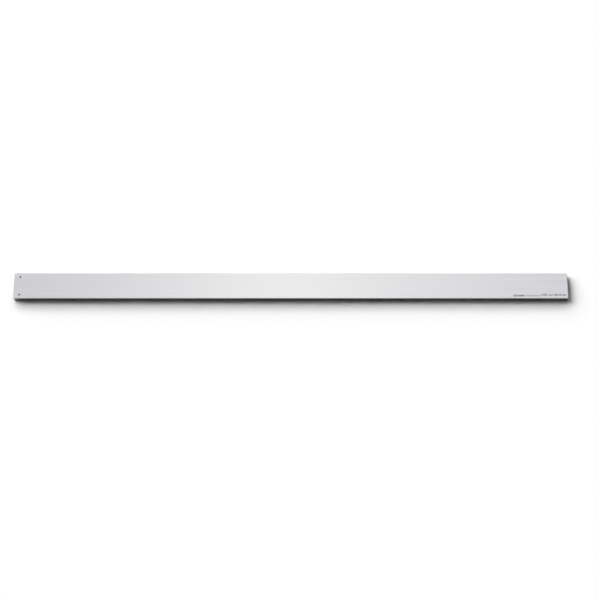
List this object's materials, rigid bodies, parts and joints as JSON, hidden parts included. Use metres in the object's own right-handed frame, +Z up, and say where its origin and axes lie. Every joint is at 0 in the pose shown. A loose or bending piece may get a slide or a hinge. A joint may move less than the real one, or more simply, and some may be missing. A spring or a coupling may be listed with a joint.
{
  "type": "straight edge",
  "caption": "Flat ground steel straight edge with lightly broken edges and small hanging holes at one end, used to check or mark a straight line.",
  "frame": {"origin": "centre of the underside, on the surface that the bar lies on", "axes": "+X along the length, from the end with the hanging holes to the plain end; +Y across the width to the far measuring edge; +Z up through the thickness"},
  "size_m": [1, 0.05, 0.01],
  "materials": {
    "ground_steel": "ground lengthwise, satin"
  },
  "bodies": {
    "root": {"straight_edge_bar": "ground_steel"}
  },
  "joints": []
}
